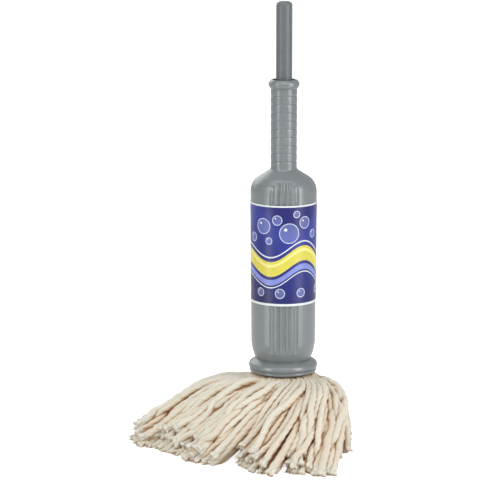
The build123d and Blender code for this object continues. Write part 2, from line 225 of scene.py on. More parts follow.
# Lay of the fibres, as a place in the streak noise
STREAKS = 2.4
STREAK_RATE = 70.0
SEED_RANGE = 50

# Plies that have sprung apart at a cut end: lengths in metres, the rest as shares
PLIES = 4
PLY_SIDES = 7
PLY_LENGTH = 0.006
PLY_LENGTH_SCATTER = (0.75, 1.2)
PLY_ROOT = 0.0075
PLY_TURN_SCATTER = 0.25
PLY_SPLAY = (0.5, 1.05)
# Share along a ply, and its radius there as a share of the strand's
PLY_PROFILE = ((0.0, 0.5), (0.3, 0.58), (0.6, 0.7), (0.85, 0.74), (0.96, 0.56), (1.0, 0.25))
PLY_SIZE_SCATTER = (0.88, 1.15)
PLY_BEND_START = 0.35
PLY_BEND_POWER = 1.5
PLY_COURSE_SCATTER = 0.0005
PLY_ROUGHNESS = 0.09
PLY_RIDGE_SHADE = 0.6
TUFTS = 3
TUFT_SIDES = 3
TUFT_SPLAY = (-0.3, 0.9)
TUFT_TURN_SCATTER = 0.3
TUFT_ROOT = 0.001
TUFT_ROOT_SCATTER = 0.0012
TUFT_LENGTH = (0.003, 0.0065)
TUFT_R = (0.0006, 0.0011)
TUFT_TIP = 0.15
TUFT_HEIGHT = 0.0008
# Direction that no strand's end points in, to find what lies across the end
NEARLY_UP = (0.05, 0.1, 1.0)

# Groups of strands that lie the same way, and degrees either side of a heading searched for a group's
# narrowest direction
YARN_GROUPS = 80
SQUEEZE_TURN = 60

# Cotton: colours by how open a spot is, from deep shade between strands to full light
COTTON_SHADES = (
    (0.08, (0.43, 0.19, 0.07)),
    (0.35, (0.58, 0.385, 0.215)),
    (0.6, (0.63, 0.57, 0.45)),
    (0.95, (0.64, 0.617, 0.54)),
)
SHADE_REACH = 0.02
STREAK_SHARE = 0.65
STREAK_SCALE = 1.0
FLUFF_SCALE = 700.0
FIBRE_DETAIL = 3.0
FIBRE_ROUGHNESS = 0.6
FIBRE_TONE = 0.7
# Painted shade in the grooves between the twisted plies: ridges lighter, grooves darker
RIDGE_SHADE = 0.2
TONE_START = -0.47
END_GAIN = 2.2
WORN_COLOUR = (0.59, 0.49, 0.35)
WORN_SCALE = 60.0
WORN_SHARE = 0.35
# Painted shade on strands deeper in the head, under the top layer: its colour, its share at full depth, and
# how fast it fades on the cut ends
INNER_SHADE_COLOUR = (0.52, 0.37, 0.23)
INNER_SHADE_SHARE = 0.26
INNER_SHADE_END_GAIN = -1.2
COTTON_ROUGHNESS = 0.95
COTTON_BUMP = 0.7
COTTON_DEPTH = 0.0014
COTTON_SHEEN = 0.2
COTTON_GLOSS = 0.15
COTTON_GLOW = 0.3
COTTON_GLOW_RADIUS = (1.0, 0.82, 0.65)
COTTON_GLOW_SCALE = 0.003

# Label: metres up the film, and turns round the pole measured from the front
LABEL_SKY = (
    (0.0, (0.010, 0.008, 0.085)),
    (0.45, (0.012, 0.017, 0.170)),
    (0.8, (0.026, 0.036, 0.24)),
    (1.0, (0.012, 0.013, 0.13)),
)
# Waves round the pole: count, phase in radians, and height
SKY_WAVE = (2.0, 0.9, 0.16)
RIBBON_WAVE = (3.0, -0.5, 0.0105)
RIBBON_SWELL = (2.0, 1.1, 0.004)
RIBBON_HEIGHT = 0.060
LINE_COLOUR = (0.66, 0.71, 0.74)
# Stripes that follow the ribbon: height above its middle, half width and colour
STRIPES = (
    (0.0165, 0.0011, LINE_COLOUR),
    (-0.0185, 0.004, (0.20, 0.24, 0.58)),
    (-0.0255, 0.0009, LINE_COLOUR),
    (0.0, 0.0105, (0.62, 0.55, 0.075)),
    (0.0045, 0.0021, (0.74, 0.69, 0.24)),
)
# Bubbles: degrees round the pole, height and radius
BUBBLES = (
    (-38, 0.110, 0.0105), (-12, 0.119, 0.0065), (9, 0.101, 0.0135), (38, 0.115, 0.008), (58, 0.098, 0.0055),
    (-62, 0.093, 0.006), (-27, 0.090, 0.0045), (22, 0.127, 0.0045), (92, 0.108, 0.012), (120, 0.095, 0.007),
    (148, 0.113, 0.009), (176, 0.098, 0.006), (-150, 0.108, 0.012), (-118, 0.096, 0.0075),
    (-92, 0.113, 0.0085), (-44, 0.018, 0.0055), (-7, 0.0175, 0.0065), (31, 0.018, 0.006), (75, 0.019, 0.006),
    (125, 0.019, 0.006), (-170, 0.019, 0.006), (-130, 0.018, 0.0055), (-85, 0.019, 0.006),
)
BUBBLE_FILL = (0.30, 0.36, 0.72)
BUBBLE_FILL_SHARE = 0.3
BUBBLE_RIM = (0.60, 0.66, 0.76)
BUBBLE_RIM_HALF = 0.00065
BUBBLE_SHINE = (0.74, 0.78, 0.80)
SHINE_SHIFT = 0.38
SHINE_SIZE = 0.17
BORDER_COLOUR = (0.66, 0.71, 0.71)
LOW_BORDER_HALF = 0.0034
HIGH_BORDER_HALF = 0.0024
PRINT_BLUR = 0.0004
SEAM_HALF = 0.012
SEAM_BLUR = 0.003
SEAM_RELIEF = 0.6
FILM_GRAIN_SCALE = 500.0
FILM_BUMP = 0.05
FILM_DEPTH = 0.0003
FILM_ROUGHNESS = 0.29
FILM_ROUGHNESS_SCALE = 60.0
FILM_ROUGHNESS_RANGE = 0.06
FILM_GLOSS = 0.35

# Stage: levels are shares of white
FLOOR_SIZE = 30
FLOOR_COLOUR = (0.8, 0.8, 0.8, 1)
FLOOR_GLOW = 0.92
ROOM_LEVEL = 0.225
MIRRORED_LEVEL = 0.45
WHITE = (1, 1, 1, 1)
LAMP_TARGET = Vector((0, 0, 0.3))
# Lamps: name, degrees round from the camera's side, degrees up, distance, width, height and watts
LAMPS = (
    ("left_strip", -52, 10, 2.2, 0.5, 1.6, 13),
    ("left_low", -52, -18, 0.65, 0.26, 0.2, 0.44),
    ("left_box", -52, 30, 2.2, 0.6, 0.6, 6),
    ("right_strip", 54, 10, 2.2, 0.8, 1.6, 22),
    ("right_low", 54, -18, 0.65, 0.34, 0.2, 0.42),
    ("right_box", 53, 30, 2.2, 1.0, 0.6, 9),
    ("front_box", 4, 40, 2.2, 1.3, 0.9, 8.5),
    ("top_box", -20, 74, 2.4, 2.2, 2.2, 23),
    ("back_box", -150, 26, 2.4, 2.2, 1.4, 15),
)


def add_camera():
    """Long lens, slightly above the object and looking down at it."""
    data = bpy.data.cameras.new("camera")
    data.sensor_width = SENSOR
    data.lens = SENSOR * FOCAL_PIXELS / IMAGE_PIXELS
    camera = bpy.data.objects.new("camera", data)
    scene.collection.objects.link(camera)
    back = Vector((0, -math.cos(PITCH), math.sin(PITCH)))
    camera.location = CAMERA_TARGET + CAMERA_DISTANCE * back
    camera.rotation_euler = (math.pi / 2 - PITCH, 0, 0)
    data.clip_start = CLIP_START
    data.clip_end = CLIP_END
    scene.camera = camera


# Node helpers
class Nodes:
    """An emptied node tree, with short ways to add and link nodes."""

    def __init__(self, tree):
        self.tree = tree
        self.tree.nodes.clear()

    def put(self, socket, value):
        """Link a socket or set a value."""
        if isinstance(value, bpy.types.NodeSocket):
            self.tree.links.new(value, socket)
        else:
            socket.default_value = value

    def add(self, kind, inputs=None, **settings):
        """New node with its settings and inputs."""
        node = self.tree.nodes.new(kind)
        for key, value in settings.items():
            setattr(node, key, value)
        for key, value in (inputs or {}).items():
            self.put(node.inputs[key], value)
        return node

    def math(self, operation, a, b=0.0, c=0.0, clamp=False):
        """Result of one sum."""
        node = self.add("ShaderNodeMath", {0: a, 1: b, 2: c}, operation=operation, use_clamp=clamp)
        return node.outputs[0]

    def ramp(self, value, stops, smooth=True):
        """Colour ramp from (position, colour) stops."""
        node = self.add("ShaderNodeValToRGB", {"Fac": value})
        node.color_ramp.interpolation = "EASE" if smooth else "LINEAR"
        elements = node.color_ramp.elements
        while len(elements) < len(stops):
            elements.new(0.5)
        for element, (position, colour) in zip(elements, stops):
            element.position = position
            element.color = (*colour, 1)
        return node.outputs["Color"]

    def mix(self, share, a, b):
        """Blend of two colours."""
        node = self.add("ShaderNodeMix", data_type="RGBA")
        self.put(node.inputs[0], share)
        for socket, value in ((node.inputs[6], a), (node.inputs[7], b)):
            self.put(socket, value if isinstance(value, bpy.types.NodeSocket) else (*value, 1))
        return node.outputs[2]

    def noise(self, vector, scale, detail=2.0, roughness=0.5):
        """Noise between 0 and 1."""
        inputs = {"Vector": vector, "Scale": scale, "Detail": detail, "Roughness": roughness}
        return self.add("ShaderNodeTexNoise", inputs).outputs["Fac"]

    def place(self):
        """Position in the row frame, in metres."""
        return self.add("ShaderNodeTexCoord").outputs["Object"]

    def openness(self, reach):
        """Share of the surroundings within reach that is open, 1 on a free surface."""
        return self.add("ShaderNodeAmbientOcclusion", {"Distance": reach}, samples=NODE_SAMPLES).outputs["AO"]

    def surface(self, colour, roughness, bump, strength, depth, edge=0.0, **others):
        """Principled surface with bump, and with edges that are seen rounded to the radius of edge."""
        shader = self.add("ShaderNodeBsdfPrincipled", {"Base Color": colour, "Roughness": roughness})
        for key, value in others.items():
            self.put(shader.inputs[key.replace("_", " ")], value)
        relief = self.add("ShaderNodeBump", {"Height": bump, "Strength": strength, "Distance": depth})
        if edge:
            rounded = self.add("ShaderNodeBevel", {"Radius": edge}, samples=NODE_SAMPLES)
            self.put(relief.inputs["Normal"], rounded.outputs[0])
        self.put(shader.inputs["Normal"], relief.outputs[0])
        self.add("ShaderNodeOutputMaterial", {"Surface": shader.outputs[0]})


def new_material(name):
    """Material with an empty node tree, and the tree's helper."""
    material = bpy.data.materials.new(name)
    material.use_nodes = True
    return material, Nodes(material.node_tree)


# Finishes of the rigid nodes
def moulded(name, tones, roughness, gloss=PLAIN_GLOSS, edge=0.0, metal=0.0):
    """Satin surface with faint flow marks and a fine grain. With an edge, shade is painted into its hollows
    as well.
    """
    material, n = new_material(name)
    dark, light = tones
    place = n.place()
    colour = n.ramp(n.noise(place, FLOW_SCALE, FLOW_DETAIL), ((FLOW_DARK, dark), (FLOW_LIGHT, light)))
    if edge:
        # Painted shade: where nearby surfaces close over a spot, the colour is darkened towards a deep grey
        closed = n.math("SUBTRACT", HOLLOW_SHADE_START, n.openness(HOLLOW_SHADE_REACH))
        hollow_shade = n.math("MULTIPLY", closed, HOLLOW_SHADE_GAIN, clamp=True)
        colour = n.mix(hollow_shade, colour, tuple(HOLLOW_SHADE_TONE * c for c in dark))
    cloud = n.noise(place, ROUGHNESS_SCALE)
    rough = n.math("MULTIPLY_ADD", cloud, ROUGHNESS_RANGE, roughness - ROUGHNESS_RANGE / 2)
    grain = n.noise(place, GRAIN_SCALE)
    n.surface(colour, rough, grain, GRAIN_STRENGTH, GRAIN_DEPTH, edge,
              Specular_IOR_Level=gloss, Metallic=metal)
    return material


def band(n, value, middle, half, blur=PRINT_BLUR):
    """1 where value is within half of middle, fading over the blur."""
    away = n.math("ABSOLUTE", n.math("SUBTRACT", value, middle))
    return n.math("DIVIDE", n.math("SUBTRACT", half, away), blur, clamp=True)


def ripple(n, turn, wave, base):
    """Base raised and lowered by a wave round the pole."""
    count, phase, height = wave
    return n.math("MULTIPLY_ADD", n.math("SINE", n.math("MULTIPLY_ADD", turn, count, phase)), height, base)


def length(n, a, b):
    """Length of the line across a and up b."""
    return n.math("SQRT", n.math("ADD", n.math("POWER", a, 2.0), n.math("POWER", b, 2.0)))


def bubble(n, colour, turn, up, degrees, height, radius):
    """Colour with one bubble on it: a pale fill, a rim and a small shine."""
    across = n.math("WRAP", n.math("SUBTRACT", turn, math.radians(degrees)), math.pi, -math.pi)
    across = n.math("MULTIPLY", across, LABEL_R)
    above = n.math("SUBTRACT", up, height)
    away = length(n, across, above)
    fill = n.math("MULTIPLY", band(n, away, 0.0, radius), BUBBLE_FILL_SHARE)
    colour = n.mix(fill, colour, BUBBLE_FILL)
    colour = n.mix(band(n, away, radius, BUBBLE_RIM_HALF), colour, BUBBLE_RIM)
    shift = SHINE_SHIFT * radius
    shine = length(n, n.math("ADD", across, shift), n.math("SUBTRACT", above, shift))
    return n.mix(band(n, shine, 0.0, SHINE_SIZE * radius), colour, BUBBLE_SHINE)


def label_film():
    """Deep blue film with a waving yellow ribbon, pale bubbles and white border lines."""
    material, n = new_material("label_film")
    place = n.place()
    x, y, z = n.add("ShaderNodeSeparateXYZ", {0: place}).outputs
    turn = n.math("ARCTAN2", x, n.math("MULTIPLY", y, -1.0))
    up = n.math("SUBTRACT", z, LABEL_LOW)
    high = LABEL_HIGH - LABEL_LOW
    colour = n.ramp(ripple(n, turn, SKY_WAVE, n.math("DIVIDE", up, high)), LABEL_SKY)
    ribbon = ripple(n, turn, RIBBON_WAVE, ripple(n, turn, RIBBON_SWELL, RIBBON_HEIGHT))
    above_ribbon = n.math("SUBTRACT", up, ribbon)
    for shift, half, paint in STRIPES:
        colour = n.mix(band(n, above_ribbon, shift, half), colour, paint)
    for degrees, height, radius in BUBBLES:
        colour = bubble(n, colour, turn, up, degrees, height, radius)
    for height, half in ((0.0, LOW_BORDER_HALF), (high, HIGH_BORDER_HALF)):
        colour = n.mix(band(n, up, height, half), colour, BORDER_COLOUR)
    seam = band(n, n.math("ABSOLUTE", turn), math.pi, SEAM_HALF, SEAM_BLUR)
    relief = n.math("MULTIPLY_ADD", seam, SEAM_RELIEF, n.noise(place, FILM_GRAIN_SCALE))
    cloud = n.noise(place, FILM_ROUGHNESS_SCALE)
    rough = n.math("MULTIPLY_ADD", cloud, FILM_ROUGHNESS_RANGE, FILM_ROUGHNESS)
    n.surface(colour, rough, relief, FILM_BUMP, FILM_DEPTH, Specular_IOR_Level=FILM_GLOSS)
    return material


def finish_nodes():
    """Give every CAD node its material and smooth its round faces."""
    sleeve = moulded("sleeve_plastic", SLEEVE_TONES, SLEEVE_ROUGHNESS, SLEEVE_GLOSS, EDGE_RADIUS)
    pole_coat = moulded("pole_coating", POLE_TONES, POLE_ROUGHNESS)
    dark = moulded("dark_plastic", DARK_TONES, DARK_ROUGHNESS)
    steel = moulded("fixing_steel", STEEL_TONES, STEEL_ROUGHNESS, metal=1.0)
    finish = {
        "wringer_sleeve": sleeve,
        "wrap_label": label_film(),
        "pole_tube": pole_coat,
        "pole_end_plug": pole_coat,
        "clamp_bolt": steel,
        "clamp_nut": steel,
    }
    for name, node in nodes.items():
        node.data.materials.clear()
        node.data.materials.append(finish.get(name, dark))
        node.data.polygons.foreach_set("use_smooth", [True] * len(node.data.polygons))
        node.data.set_sharp_from_angle(angle=CREASE_ANGLE)


# Courses of the strands
def table(rows, value):
    """Straight-line value between the rows of a table, for one value or an array."""
    return np.interp(value, [r[0] for r in rows], [r[1] for r in rows])


def half_turn(angle):
    """Same direction between -180 and 180 degrees."""
    return (angle + 180.0) % 360.0 - 180.0


def smooth(values, passes):
    """Even out values with their neighbours, in place, with both ends kept."""
    for _ in range(passes):
        values[1:-1] = 0.25 * values[:-2] + 0.5 * values[1:-1] + 0.25 * values[2:]
    return values


def unit(angle):
    """Level direction at an angle in degrees."""
    a = math.radians(angle)
    return np.array([math.cos(a), math.sin(a)])


def strand_heading(rng, azimuth, layer):
    """Direction in which a strand's end lies, in degrees, and whether it strays from its bunch."""
    a = math.radians(azimuth)
    bunch = sum(aside * math.sin(a * count + shift * layer) for aside, count, shift in BUNCHES)
    bunch += rng.normal(0, BUNCH_SCATTER)
    stray = layer == 0 and rng.random() < STRAY_SHARE
    bunch += rng.normal(0, STRAY_TURN) if stray else 0.0
    heading = half_turn(table(SWEEP, azimuth) + bunch * LAYERS[layer].bunching)
    for centre, aside, spread in PARTINGS:
        beside = heading - centre
        heading += math.copysign(aside, beside) * math.exp(-abs(beside) / spread)
    return heading, stray


def strand_plan(rng, t, out, finish, steep, sway):
    """Course seen from above at the shares t of its length, from the crest to its end."""
    start = CREST_R * out
    chord = finish - start
    span = np.linalg.norm(chord)
    lead = LEAD_OUT * out + (1 - LEAD_OUT) * chord / span
    control = start + CONTROL_SHARE * span * lead / np.linalg.norm(lead)
    go = (1 - steep) * t + steep * np.sin(t * math.pi / 2)
    g = go[:, None]
    plan = (1 - g) ** 2 * start + 2 * g * (1 - g) * control + g**2 * finish
    side = np.array([-chord[1], chord[0]]) / span
    wave = rng.normal(0, sway) * np.sin(math.tau * (rng.uniform(*SWAY_WAVES) * t + rng.uniform()))
    return plan + (wave * t * (SWAY_FADE - t))[:, None] * side


def strand_height(rng, t, layer, crest, steep, tip, stray):
    """Height at the shares t of its length: flat over the crest, or straight down where it is steep."""
    lying = smooth(table(LYING, t), LYING_PASSES)
    fall = (1 - steep) * lying + steep * np.cos(t * math.pi / 2) ** STEEP_POWER
    stack = (LOWEST_LAYER - layer) * (LAYER_STEP - TIP_SINK * tip) + rng.normal(0, REST_SCATTER)
    rest = STRAND_R + max(0.0, stack) * (1 - STEEP_SINK * steep)
    z = rest + (crest - LAYER_DROP * layer - rest) * fall
    rise = rng.normal(0, RISE_SCATTER) + (STRAY_RISE if stray else 0.0)
    return z + rise * np.sin(math.pi * np.minimum(1, RISE_RATE * t))


def strand_path(rng, azimuth, layer):
    """Course of one strand, from under the foot over the crest and out to the floor."""
    azimuth = half_turn(azimuth)
    kind = LAYERS[layer]
    heading, stray = strand_heading(rng, azimuth, layer)
    tip = max(0.0, 1 - (180 - abs(heading)) / TIP_WIDTH)
    end = kind.end + (TIP_REACH - kind.end) * tip
    reach = table(FOOTPRINT, heading) * end * (1 + rng.normal(0, kind.scatter))
    steep = table(STEEP, heading)
    out = unit(azimuth)
    t = np.linspace(0, 1, PATH_POINTS)
    sway = kind.sway * (STRAY_SWAY if stray else 1.0)
    plan = strand_plan(rng, t, out, reach * unit(heading), steep, sway)
    z = strand_height(rng, t, layer, table(CREST, heading), steep, tip, stray)
    lead_in = np.outer(np.linspace(ROOT_R / CREST_R, 1, ROOT_POINTS, endpoint=False), CREST_R * out)
    root = np.column_stack([lead_in, np.linspace(ROOT_Z, z[0], ROOT_POINTS, endpoint=False)])
    return np.vstack([root, np.column_stack([plan, z])])


def strand_paths(rng):
    """First courses of all strands above the filling, as strands by points by 3."""
    paths = []
    for layer, kind in enumerate(LAYERS[:FILL_LAYER]):
        for i in range(kind.count):
            azimuth = 360.0 * (i + LAYER_SHIFT * layer) / kind.count + rng.normal(0, TURN_SCATTER)
            paths.append(strand_path(rng, azimuth, layer))
    return np.array(paths)


def fill_path(rng, index):
    """Course of one of the thick plain strands that close the head from below."""
    path = strand_path(rng, 360.0 * index / LAYERS[FILL_LAYER].count, FILL_LAYER)
    path[:, 2] -= FILL_R - STRAND_R
    return path


def neighbours(points, strand, reach):
    """Index pairs of points on different strands that are closer than reach."""
    cells = np.floor((points - points.min(0)) / reach).astype(np.int64) + 1
    span = cells.max(0) + 2
    key = (cells[:, 0] * span[1] + cells[:, 1]) * span[2] + cells[:, 2]
    order = np.argsort(key, kind="stable")
    sorted_key = key[order]
    first, second = [], []
    for dx, dy, dz in np.ndindex(3, 3, 3):
        wanted = key + ((dx - 1) * span[1] + dy - 1) * span[2] + dz - 1
        low = np.searchsorted(sorted_key, wanted, "left")
        high = np.searchsorted(sorted_key, wanted, "right")
        for k in range(int((high - low).max())):
            here = np.nonzero(low + k < high)[0]
            there = order[low[here] + k]
            keep = (here < there) & (strand[here] != strand[there])
            first.append(here[keep])
            second.append(there[keep])
    first, second = np.concatenate(first), np.concatenate(second)
    near = np.linalg.norm(points[first] - points[second], axis=1) < reach
    return first[near], second[near]


def pushed_apart(flat, a, b, wide):
    """Move of every point that parts the pairs a and b where they are closer than wide."""
    gap = flat[a] - flat[b]
    size = np.linalg.norm(gap, axis=1)
    close = size < wide
    push = gap[close] / np.maximum(size[close], LEAST_LENGTH)[:, None]
    push *= (PUSH_SHARE * (wide - size)[close])[:, None]
    moved = np.zeros_like(flat)
    np.add.at(moved, a[close], push)
    np.add.at(moved, b[close], -push)
    return np.clip(moved, -MOST_PUSH, MOST_PUSH)


def settle(paths, rounds):
    """Push the strands apart until they lie beside and over each other."""
    count, points = paths.shape[:2]
    strand = np.repeat(np.arange(count), points)
    home = paths.copy()
    lengths = np.linalg.norm(np.diff(home, axis=1), axis=2)[..., None]
    hold = np.linspace(HOLD_AT_ROOT, HOLD_AT_END, points)[None, :, None]
    slack = np.tile(table(SLACK, np.linspace(0, 1, points)), count)
    for step in range(rounds):
        flat = paths.reshape(-1, 3)
        if step % SEARCH_EVERY == 0:
            a, b = neighbours(flat, strand, CONTACT * SEARCH_SHARE)
            wide = CONTACT * 0.5 * (slack[a] + slack[b])
        flat += pushed_apart(flat, a, b, wide)
        paths = flat.reshape(count, points, 3)
        paths[:, 1:-1] += STIFFNESS * (paths[:, :-2] + paths[:, 2:] - 2 * paths[:, 1:-1])
        for _ in range(LENGTH_PASSES):
            segment = np.diff(paths, axis=1)
            size = np.linalg.norm(segment, axis=2)[..., None]
            fix = LENGTH_SHARE * segment * (1 - lengths / np.maximum(size, LEAST_LENGTH))
            paths[:, :-1] += fix
            paths[:, 1:] -= fix
        paths += (home - paths) * hold
        paths[..., 2] = np.maximum(paths[..., 2], LEAST_HEIGHT)
        under = np.hypot(paths[..., 0], paths[..., 1]) < FOOT_EDGE
        paths[..., 2] = np.where(under, np.minimum(paths[..., 2], FOOT_LOW - STRAND_R), paths[..., 2])
    return paths


# Meshes of the strands
def distances(points):
    """Distance along a course at each of its points."""
    return np.r_[0, np.cumsum(np.linalg.norm(np.diff(points, axis=0), axis=1))]


def resample(path, spacing):
    """Even points along the path, smoothed, and their distances along it."""
    along = distances(path)
    count = max(LEAST_POINTS, int(round(along[-1] / spacing)) + 1)
    at = np.linspace(0, along[-1], count)
    points = np.column_stack([np.interp(at, along, path[:, k]) for k in range(3)])
    return smooth(points, PATH_PASSES), at


def tube_faces(rows, sides):
    """Faces of a closed tube: rings of vertices, with one vertex before the first and one after the last."""
    faces = [(0, 1 + (j + 1) % sides, 1 + j) for j in range(sides)]
    for i in range(rows - 1):
        low = 1 + i * sides
        for j in range(sides):
            k = (j + 1) % sides
            faces.append((low + j, low + k, low + sides + k, low + sides + j))
    last = 1 + rows * sides
    faces += [(last - sides + j, last - sides + (j + 1) % sides, last) for j in range(sides)]
    return faces


def fibre_lay(turns, up):
    """Place in the streak noise of each vertex of a tube, from its turn and its place along the strand."""
    rows, sides = turns.shape
    around = np.stack([STREAKS * np.cos(turns), STREAKS * np.sin(turns)], 2).reshape(-1, 2)
    lay = np.column_stack([around, np.repeat(up, sides)])
    return np.vstack([lay[:1], lay, lay[-1:]])


def rod(centres, radii, across, other, seed):
    """Vertices, faces and fibre lay of a closed tube through the centres, with a radius for each vertex."""
    rows, sides = radii.shape
    theta = np.linspace(0, math.tau, sides, endpoint=False)
    ring = np.cos(theta)[:, None] * across + np.sin(theta)[:, None] * other
    verts = (centres[:, None, :] + ring[None] * radii[..., None]).reshape(-1, 3)
    verts = np.vstack([centres[:1], verts, centres[-1:]])
    lay = fibre_lay(np.tile(theta, (rows, 1)), distances(centres) * STREAK_RATE + seed)
    return verts, tube_faces(rows, sides), lay


def tuft(rng, foot, along, out, across, other):
    """One loose fibre at the end of a ply."""
    way = along + out * rng.uniform(*TUFT_SPLAY) + rng.normal(0, TUFT_TURN_SCATTER, 3)
    way /= np.linalg.norm(way)
    root = foot - along * TUFT_ROOT + rng.normal(0, TUFT_ROOT_SCATTER, 3)
    line = root + np.outer([0.0, rng.uniform(*TUFT_LENGTH)], way)
    line[:, 2] = np.maximum(line[:, 2], TUFT_HEIGHT)
    radii = np.array([[1.0], [TUFT_TIP]]) * rng.uniform(*TUFT_R) * np.ones((2, TUFT_SIDES))
    return rod(line, radii, across, other, rng.uniform(0, SEED_RANGE))


def unlaid_end(rng, centre, along, thickness):
    """Plies that have sprung apart at the cut end of a strand, with loose fibres on each."""
    across = np.cross(along, NEARLY_UP)
    across /= np.linalg.norm(across)
    other = np.cross(along, across)
    begin = rng.uniform(0, math.tau)
    share, profile = np.array(PLY_PROFILE).T
    s = share[:, None]
    bend = PLY_BEND_START + (1 - PLY_BEND_START) * s**PLY_BEND_POWER
    bits = []
    for k in range(PLIES):
        turn = begin + math.tau * k / PLIES + rng.normal(0, PLY_TURN_SCATTER)
        out = math.cos(turn) * across + math.sin(turn) * other
        reach = PLY_LENGTH * rng.uniform(*PLY_LENGTH_SCATTER)
        splay = thickness * rng.uniform(*PLY_SPLAY)
        line = centre - along * PLY_ROOT + along * (PLY_ROOT + reach) * s + out * splay * bend
        line += rng.normal(0, PLY_COURSE_SCATTER, line.shape)
        size = profile * thickness * rng.uniform(*PLY_SIZE_SCATTER)
        radii = size[:, None] * (1 + rng.normal(0, PLY_ROUGHNESS, (len(line), PLY_SIDES)))
        bits.append(rod(line, radii, across, other, rng.uniform(0, SEED_RANGE)))
        for _ in range(TUFTS):
            bits.append(tuft(rng, line[-2], along, out, across, other))
    return bits


def directions(points):
    """Tangent of a course and two directions across it, at each point."""
    tangent = np.gradient(points, axis=0)
    tangent /= np.linalg.norm(tangent, axis=1)[:, None]
    normal = np.cross(tangent, (0, 0, 1.0))
    normal /= np.maximum(np.linalg.norm(normal, axis=1), LEAST_LENGTH)[:, None]
    for i in range(1, len(normal)):
        if normal[i] @ normal[i - 1] < 0:
            normal[i] = -normal[i]
    return tangent, normal, np.cross(tangent, normal)


# Build of a strand: radius, sides, whether its end is unlaid, and depth in the head from 0 to 1
Build = namedtuple("Build", "thickness sides frayed depth")


def tube(path, rng, build):
    """Vertices, faces, marks (chance, share along, ridge, depth) and fibre lay of one twisted strand."""
    thickness, sides, frayed, depth = build
    points, at = resample(path, STRAND_SPACING if frayed else FILL_SPACING)
    tangent, normal, binormal = directions(points)
    theta = np.linspace(0, math.tau, sides, endpoint=False)
    phase = rng.uniform(0, math.tau)
    twist = math.tau / rng.uniform(*TWIST_LENGTH)
    lumps = max(LEAST_LUMPS, int(at[-1] / LUMP_SPACING))
    lump = np.interp(at, np.linspace(0, at[-1], lumps), 1 + rng.normal(0, LUMP_SCATTER, lumps))
    lump *= table(ROOT_TAPER, at)
    turned = theta[None, :] - twist * at[:, None] + phase
    ridge = np.cos(PLY_RIDGES * turned)
    radius = thickness * lump[:, None] * (1 + RIDGE_HEIGHT * ridge + FLATTENING * np.cos(2 * turned))
    radius *= 1 + rng.normal(0, FIBRE_SCATTER, radius.shape)
    ring = np.cos(theta)[:, None] * normal[:, None, :] + np.sin(theta)[:, None] * binormal[:, None, :]
    body = points[:, None, :] + ring * radius[..., None]
    cap = points[-1:] + tangent[-1] * CAP_BULGE * thickness
    verts = np.vstack([points[:1], body.reshape(-1, 3), cap])
    faces = tube_faces(len(points), sides)
    # Ridge mark for the painted shade in the grooves between plies; the sprung plies at the end get an even
    # mark
    tone_and_groove_shade = np.concatenate([[0.5], (0.5 + 0.5 * ridge).ravel(), [0.5]])
    lay = fibre_lay(turned, rng.uniform(0, SEED_RANGE) + STREAK_RATE * at)
    from_end = np.clip((at[-1] - at) / END_RUN, 0, 1)
    share = np.concatenate([[0], np.repeat(1 - END_MARK * from_end, sides), [1]])
    if frayed:
        for more, extra, run in unlaid_end(rng, points[-1], tangent[-1], thickness):
            faces += [tuple(len(verts) + i for i in face) for face in extra]
            verts = np.vstack([verts, more])
            lay = np.vstack([lay, run])
        added = len(verts) - len(share)
        tone_and_groove_shade = np.concatenate([tone_and_groove_shade, np.full(added, PLY_RIDGE_SHADE)])
        share = np.concatenate([share, np.ones(added)])
    verts[:, 2] = np.maximum(verts[:, 2], FLOOR_GAP)
    chance = np.full(len(verts), rng.uniform())
    return verts, faces, np.column_stack([chance, share, tone_and_groove_shade, np.full(len(verts), depth)]), lay


def cotton():
    """Soft cream cotton that darkens to tan where strands shade each other."""
    material, n = new_material("cotton_yarn")
    marks = n.add("ShaderNodeAttribute", attribute_name="strand").outputs
    chance, along, ridge = n.add("ShaderNodeSeparateColor", {0: marks["Color"]}).outputs
    depth = marks["Alpha"]
    lay = n.add("ShaderNodeAttribute", attribute_name="lay").outputs["Vector"]
    place = n.place()
    streak = n.noise(lay, STREAK_SCALE, FIBRE_DETAIL, FIBRE_ROUGHNESS)
    fluff = n.noise(place, FLUFF_SCALE, FIBRE_DETAIL, FIBRE_ROUGHNESS)
    fibre = n.math("MULTIPLY_ADD", streak, STREAK_SHARE, n.math("MULTIPLY", fluff, 1 - STREAK_SHARE))
    # Fibre streaks are the yarn's own tone; the ridge mark adds painted shade in the grooves between plies
    tone_and_groove_shade = n.math("MULTIPLY_ADD", ridge, RIDGE_SHADE, n.math("MULTIPLY_ADD", fibre, FIBRE_TONE, TONE_START))
    # The last stretch counts as more open, so the cut ends get less painted shade and look lighter
    end = n.math("MULTIPLY_ADD", along, END_GAIN, -END_GAIN * (1 - END_MARK))
    light = n.math("ADD", n.math("ADD", n.openness(SHADE_REACH), tone_and_groove_shade), end, clamp=True)
    colour = n.ramp(light, COTTON_SHADES, smooth=False)
    worn = n.math("MULTIPLY", n.math("MULTIPLY", chance, n.noise(place, WORN_SCALE)), WORN_SHARE)
    colour = n.mix(worn, colour, WORN_COLOUR)
    # Painted shade: deeper strands are tinted tan, less so on their last stretch
    shaded = n.math("MULTIPLY_ADD", end, INNER_SHADE_END_GAIN, INNER_SHADE_SHARE)
    colour = n.mix(n.math("MULTIPLY", depth, shaded, clamp=True), colour, INNER_SHADE_COLOUR)
    n.surface(colour, COTTON_ROUGHNESS, fibre, COTTON_BUMP, COTTON_DEPTH, Sheen_Weight=COTTON_SHEEN,
              Specular_IOR_Level=COTTON_GLOSS, Subsurface_Weight=COTTON_GLOW,
              Subsurface_Radius=COTTON_GLOW_RADIUS, Subsurface_Scale=COTTON_GLOW_SCALE)
    return material


